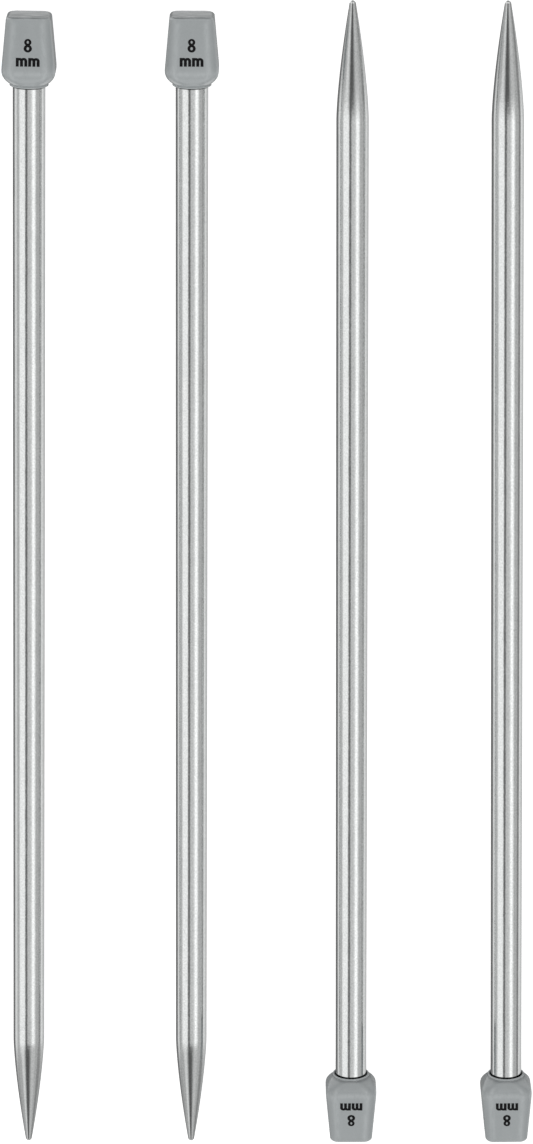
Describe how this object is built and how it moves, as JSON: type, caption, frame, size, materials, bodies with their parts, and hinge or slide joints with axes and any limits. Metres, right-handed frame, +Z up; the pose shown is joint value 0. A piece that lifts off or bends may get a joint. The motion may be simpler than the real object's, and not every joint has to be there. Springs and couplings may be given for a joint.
{
  "type": "straight knitting needles",
  "caption": "Single-point straight knitting needles: tubular metal shafts swaged to a rounded point, each with a square plastic head that stops the stitches.",
  "frame": {"origin": "centre of the four needles' footprint, on the table they lie on", "axes": "+Y along the needles, towards the heads of needle_1 and needle_2 and the points of needle_3 and needle_4; +X across them, from needle_1 to needle_4; +Z up off the table, the way the printed faces look"},
  "size_m": [0.1356, 0.3028, 0.0132],
  "materials": {
    "aluminium_shaft": "satin, brushed along its length",
    "moulded_head": "satin moulded grey plastic",
    "black_print": "matt black ink"
  },
  "bodies": {
    "needle_1": {"needle_1_shaft": "aluminium_shaft", "needle_1_head": "moulded_head", "needle_1_size_number": "black_print", "needle_1_size_unit": "black_print"},
    "needle_2": {"needle_2_shaft": "aluminium_shaft", "needle_2_head": "moulded_head", "needle_2_size_number": "black_print", "needle_2_size_unit": "black_print"},
    "needle_3": {"needle_3_shaft": "aluminium_shaft", "needle_3_head": "moulded_head", "needle_3_size_number": "black_print", "needle_3_size_unit": "black_print"},
    "needle_4": {"needle_4_shaft": "aluminium_shaft", "needle_4_head": "moulded_head", "needle_4_size_number": "black_print", "needle_4_size_unit": "black_print"}
  },
  "joints": [
    {"name": "needle_2_lift", "type": "slide", "parent": "needle_1", "child": "needle_2", "axis": [0, 0, 1], "range_m": [0, 0.12]},
    {"name": "needle_3_lift", "type": "slide", "parent": "needle_1", "child": "needle_3", "axis": [0, 0, 1], "range_m": [0, 0.12]},
    {"name": "needle_4_lift", "type": "slide", "parent": "needle_1", "child": "needle_4", "axis": [0, 0, 1], "range_m": [0, 0.12]}
  ]
}
